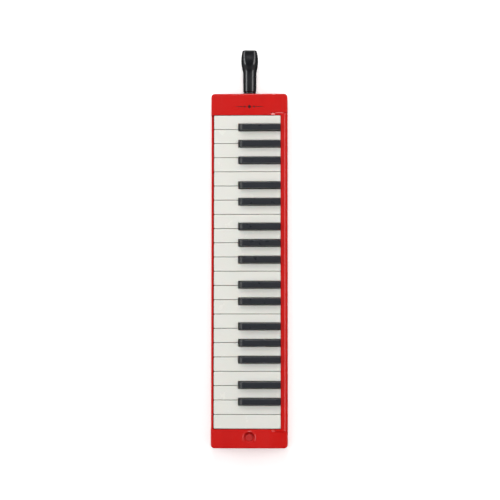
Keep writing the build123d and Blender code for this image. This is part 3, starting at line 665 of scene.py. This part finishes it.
def coilTree():
    tree, source, result = nodeTree("coilWire", (
        ("Radius", "Float"), ("Height", "Float"), ("Turns", "Float"), ("Steps", "Int"),
        ("Wire Radius", "Float"), ("Around", "Int"), ("Middle", "Vector"), ("Finish", "Material")))
    add, join = tree.nodes.new, tree.links.new
    coil = add("GeometryNodeCurveSpiral")
    ring = add("GeometryNodeCurvePrimitiveCircle")
    wire = add("GeometryNodeCurveToMesh")
    wire.inputs["Fill Caps"].default_value = True
    move = add("GeometryNodeTransform")
    smooth = add("GeometryNodeSetShadeSmooth")
    realize = add("GeometryNodeRealizeInstances")
    paint = add("GeometryNodeSetMaterial")
    join(source.outputs["Radius"], coil.inputs["Start Radius"])
    join(source.outputs["Radius"], coil.inputs["End Radius"])
    join(source.outputs["Height"], coil.inputs["Height"])
    join(source.outputs["Turns"], coil.inputs["Rotations"])
    join(source.outputs["Steps"], coil.inputs["Resolution"])
    join(source.outputs["Wire Radius"], ring.inputs["Radius"])
    join(source.outputs["Around"], ring.inputs["Resolution"])
    join(coil.outputs["Curve"], wire.inputs["Curve"])
    join(ring.outputs["Curve"], wire.inputs["Profile Curve"])
    join(wire.outputs["Mesh"], move.inputs["Geometry"])
    join(source.outputs["Middle"], move.inputs["Translation"])
    join(move.outputs["Geometry"], smooth.inputs["Geometry"])
    join(smooth.outputs["Geometry"], realize.inputs["Geometry"])
    join(realize.outputs["Geometry"], paint.inputs["Geometry"])
    join(source.outputs["Finish"], paint.inputs["Material"])
    join(paint.outputs["Geometry"], result.inputs["Geometry"])
    return tree


def makeCoil(c):
    low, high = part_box("drain_spring")
    wire, clear = c["wire"] * mm, c["clear"] * mm
    inset = wire + clear    # from the room the coil has to its centre line
    middle = (low + high) / 2
    carrier = bpy.data.objects.new("drainCoil", bpy.data.meshes.new("drainCoil"))
    scene.collection.objects.link(carrier)
    mesh = runTree(carrier, coilTree(), {
        "Radius": (high.y - low.y) / 2 - inset - clear, "Height": high.z - low.z - 2 * inset,
        "Turns": c["turns"], "Steps": c["stepsPerTurn"], "Wire Radius": wire, "Around": c["around"],
        "Middle": (middle.x, middle.y, low.z + inset), "Finish": finishes["steel"]})
    coil = pieceFrom("drainCoil", mesh, None)
    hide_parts("drain_spring")
    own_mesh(coil)


makeCoil(coilSet)
print("stage: drain spring")


# Hand strap: one webbing band, doubled back round a bar at each end and sewn
strapSet = {
    "thickness": 1.6, "gap": 0.1, "barRadius": 1.5,
    "lap": 13.6,            # from the bar to the band's cut end
    "settle": 8.5,          # from the bar to where the two layers meet
    "bendSteps": 8, "turnSteps": 18,
    "ridges": 9, "ridgeDepth": 0.07, "ridgeSteps": 4,
    "selvedge": 0.25, "crown": 14, "skin": 0.02,
    "step": 0.8,            # spacing of the cross sections
    "stitch": (2.0, 0.55, 0.34), "stitchEvery": 2.7, "stitchInset": 2.4,
    "boxInset": (1.5, 1.0),     # of the sewn box from where the layers meet and from the cut end
    "sunk": 0.02,
}


def strapLine(c, low, high):
    # centre line in X and Z, from one cut end round both bars to the other
    layer = c["thickness"]
    reach = c["barRadius"] + c["gap"] + layer / 2
    edge = reach + layer / 2
    barZ = high.z / mm - edge
    left, right = low.x / mm + edge, high.x / mm - edge
    lower, upper = barZ - reach, barZ - reach + layer

    def half(x, towards):
        line = [(x + towards * c["lap"], upper), (x + towards * c["settle"], upper)]
        for i in range(1, c["bendSteps"]):
            t = i / c["bendSteps"]
            ease = t * t * (3 - 2 * t)
            line.append((x + towards * c["settle"] * (1 - t), upper + (barZ + reach - upper) * ease))
        for i in range(c["turnSteps"] + 1):
            a = math.radians(90 + 180 * i / c["turnSteps"])
            line.append((x + towards * reach * math.cos(a), barZ + reach * math.sin(a)))
        return line

    return half(left, 1) + [((left + right) / 2, lower)] + half(right, -1)[::-1], left, right, lower


def evenly(line, step):
    # the same line with points at even steps
    runs = [0.0]
    for a, b in zip(line, line[1:]):
        runs.append(runs[-1] + math.dist(a, b))
    count = max(2, round(runs[-1] / step))
    out, k = [], 0
    for i in range(count + 1):
        s = runs[-1] * i / count
        while k < len(runs) - 2 and runs[k + 1] < s:
            k += 1
        t = (s - runs[k]) / max(runs[k + 1] - runs[k], 1e-9)
        (x0, z0), (x1, z1) = line[k], line[k + 1]
        out.append((x0 + (x1 - x0) * t, z0 + (z1 - z0) * t, s))
    return out


def webbingSection(c, width):
    # half the thickness above and below, with lengthwise ridges and round selvedges
    half, high = width / 2, c["thickness"] / 2
    top = []
    count = c["ridges"] * c["ridgeSteps"]
    for i in range(count + 1):
        u = -1 + 2 * i / count
        ridge = c["ridgeDepth"] * (math.cos(2 * math.pi * (u + 1) / 2 * c["ridges"]) - 1) / 2
        crown = 1 - abs(u) ** c["crown"]
        top.append((u * (half - c["selvedge"]), (high - c["skin"]) * crown + ridge))
    return [(half, 0.0)] + top[::-1] + [(-half, 0.0)] + [(y, -z) for y, z in top]


def makeStrap(c):
    low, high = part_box("hand_strap")
    width = (high.y - low.y) / mm
    line, left, right, lower = strapLine(c, low, high)
    path = evenly(line, c["step"])
    section = webbingSection(c, width)
    verts, uvs = [], []
    for i, (x, z, s) in enumerate(path):
        before, after = path[max(i - 1, 0)], path[min(i + 1, len(path) - 1)]
        dx, dz = after[0] - before[0], after[1] - before[1]
        size = math.hypot(dx, dz)
        nx, nz = -dz / size, dx / size
        for y, h in section:
            verts.append(((x + nx * h) * mm, y * mm, (z + nz * h) * mm))
            uvs.append((s * mm, y * mm))
    n, faces = len(section), []
    for i in range(len(path) - 1):
        for k in range(n):
            m = (k + 1) % n
            faces.append((i * n + k, i * n + m, (i + 1) * n + m, (i + 1) * n + k))
    faces.append(tuple(range(n)))
    faces.append(tuple(range((len(path) - 1) * n, len(path) * n)))
    mesh = meshFrom("handStrapWebbing", verts, faces)
    weave = mesh.uv_layers.new(name="weave")
    for corner, uv in zip(mesh.loops, weave.data):
        uv.uv = uvs[corner.vertex_index]
    strap = pieceFrom("handStrapWebbing", mesh, finishes["strap"])
    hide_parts("hand_strap")
    makeStitches(c, left, right, lower, width)


def stitchTree():
    tree, source, result = nodeTree("stitchesOnLines", (
        ("Length", "Float"), ("Width", "Float"), ("Height", "Float"), ("Every", "Float"),
        ("Finish", "Material")))
    add, join = tree.nodes.new, tree.links.new
    lines = add("GeometryNodeMeshToCurve")
    spread = add("GeometryNodeResampleCurve")
    spread.mode = "LENGTH"
    bead = add("GeometryNodeMeshUVSphere")
    bead.inputs["Segments"].default_value = 8
    bead.inputs["Rings"].default_value = 6
    bead.inputs["Radius"].default_value = 0.5
    size = add("ShaderNodeCombineXYZ")
    smooth = add("GeometryNodeSetShadeSmooth")
    tangent = add("GeometryNodeInputTangent")
    align = add("FunctionNodeAlignEulerToVector")
    align.axis = "X"
    scatter = add("GeometryNodeInstanceOnPoints")
    realize = add("GeometryNodeRealizeInstances")
    paint = add("GeometryNodeSetMaterial")
    join(source.outputs["Geometry"], lines.inputs["Mesh"])
    join(lines.outputs["Curve"], spread.inputs["Curve"])
    join(source.outputs["Every"], spread.inputs["Length"])
    join(source.outputs["Length"], size.inputs["X"])
    join(source.outputs["Width"], size.inputs["Y"])
    join(source.outputs["Height"], size.inputs["Z"])
    join(tangent.outputs["Tangent"], align.inputs["Vector"])
    join(spread.outputs["Curve"], scatter.inputs["Points"])
    join(bead.outputs["Mesh"], smooth.inputs["Geometry"])
    join(smooth.outputs["Geometry"], scatter.inputs["Instance"])
    join(align.outputs["Rotation"], scatter.inputs["Rotation"])
    join(size.outputs["Vector"], scatter.inputs["Scale"])
    join(scatter.outputs["Instances"], realize.inputs["Geometry"])
    join(realize.outputs["Geometry"], paint.inputs["Geometry"])
    join(source.outputs["Finish"], paint.inputs["Material"])
    join(paint.outputs["Geometry"], result.inputs["Geometry"])
    return tree


def makeStitches(c, left, right, lower, width):
    # a sewn box with a cross in it, where the layers lie on each other
    verts, edges = [], []
    z = (lower - c["thickness"] / 2 + c["sunk"]) * mm
    y = width / 2 - c["stitchInset"]
    for x, towards in ((left, 1), (right, -1)):
        near = x + towards * (c["settle"] - c["boxInset"][0])
        far = x + towards * (c["lap"] - c["boxInset"][1])
        corners = [(near, -y), (far, -y), (far, y), (near, y)]
        for a, b in ((0, 1), (1, 2), (2, 3), (3, 0), (0, 2), (1, 3)):
            edges.append((len(verts), len(verts) + 1))
            verts += [(corners[i][0] * mm, corners[i][1] * mm, z) for i in (a, b)]
    mesh = bpy.data.meshes.new("strapStitches")
    mesh.from_pydata(verts, edges, [])
    carrier = bpy.data.objects.new("strapStitches", mesh)
    scene.collection.objects.link(carrier)
    length, across, tall = (v * mm for v in c["stitch"])
    mesh = runTree(carrier, stitchTree(), {
        "Length": length, "Width": across, "Height": tall, "Every": c["stitchEvery"] * mm,
        "Finish": finishes["stitch"]})
    pieceFrom("strapStitches", mesh, None)


makeStrap(strapSet)
print("stage: hand strap")


# Ornament printed on the bass block: a fine line broken by three diamonds
ornamentSet = {
    "along": 38.0, "fromKeys": 12.4,    # length across the block, and distance from the first key
    "line": 1.1, "lineEnd": 0.3,        # width of the line, and its share that is left at the ends
    "diamond": (5.2, 6.0), "small": (3.2, 3.4), "spacing": 6.4, "clear": 1.6,
    "height": 0.04, "sunk": 0.02,       # the ink's top above the plastic, and its foot below
}


def diamond(x, y, long, wide):
    return [(x - wide / 2, y), (x, y - long / 2), (x + wide / 2, y), (x, y + long / 2)]


def makeOrnament(c):
    x0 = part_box("key_F3")[0].x / mm - c["fromKeys"]
    top = max(v.co.z for v in nodes["upper_case"].data.vertices if v.co.x < x0 * mm) / mm
    shapes = []
    half, size = c["along"] / 2, c["diamond"]
    middle = c["spacing"] + c["small"][0] / 2 + c["clear"]
    wide = c["line"] / 2
    thin = wide * c["lineEnd"]
    for side in (-1, 1):
        inner, outer = side * middle, side * half
        shapes.append([(x0 - wide, inner), (x0 + wide, inner), (x0 + thin, outer), (x0 - thin, outer)])
        centre, (a, b) = side * c["spacing"], c["small"]
        shapes.append(diamond(x0, centre, a, b))
    shapes.append(diamond(x0, 0.0, *size))
    verts, faces = [], []
    for outline in shapes:
        base, n = len(verts), len(outline)
        for z in (top - c["sunk"], top + c["height"]):
            verts += [(x * mm, y * mm, z * mm) for x, y in outline]
        faces.append(tuple(range(base, base + n)))
        faces.append(tuple(range(base + n, base + 2 * n)))
        faces += [(base + i, base + (i + 1) % n, base + n + (i + 1) % n, base + n + i) for i in range(n)]
    pieceFrom("bassOrnament", meshFrom("bassOrnament", verts, faces, False), finishes["ink"])


makeOrnament(ornamentSet)
print("stage: ornament")
